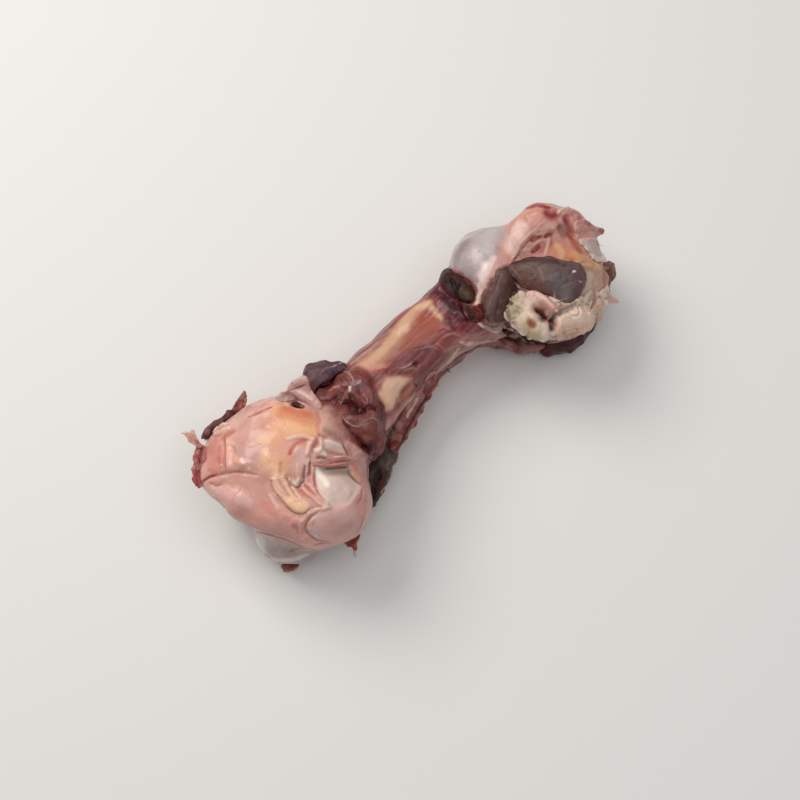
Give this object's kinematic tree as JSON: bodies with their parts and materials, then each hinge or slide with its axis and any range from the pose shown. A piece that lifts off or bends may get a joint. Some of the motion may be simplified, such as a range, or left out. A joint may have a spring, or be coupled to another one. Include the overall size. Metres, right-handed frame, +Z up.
{
  "type": "raw thigh bone",
  "caption": "Raw emu thigh bone lying on its side, with a broad knee end, a round hip joint head and scraps of meat, fat and sinew on it.",
  "frame": {"origin": "middle of the whole object's box in X and Y, on the surface that it lies on", "axes": "+X along the bone from the knee end to the hip end, +Z up from the surface that it lies on, +Y across it towards the side of the hip joint's ball"},
  "size_m": [0.2358, 0.0948, 0.0618],
  "materials": {
    "gristle": "wet raw bone, cartilage and the pink skin of the joint over it, glossy",
    "red_meat": "raw dark red muscle with thin white films, moist",
    "dark_meat": "raw muscle dried to a brown grey, wrinkled, satin",
    "fat": "soft raw fat in crumbling cream lobes, moist",
    "sinew": "pale pink tendon and torn film, moist"
  },
  "bodies": {
    "root": {"bone": "gristle", "collar_meat": "red_meat", "shoulder_meat": "dark_meat", "side_meat": "dark_meat", "far_meat": "red_meat", "neck_meat": "dark_meat", "strap_meat": "dark_meat", "cap_meat": "dark_meat", "fat_cluster": "fat", "lower_lobe": "sinew", "under_meat": "red_meat", "shaft_fringe": "sinew", "roller_scrap": "red_meat", "hip_scrap": "dark_meat", "tendon_flap": "sinew", "knee_band": "sinew", "corner_tag": "sinew", "top_tag": "red_meat", "roller_tag": "red_meat", "hip_spike": "sinew", "hip_flap": "sinew"}
  },
  "joints": []
}
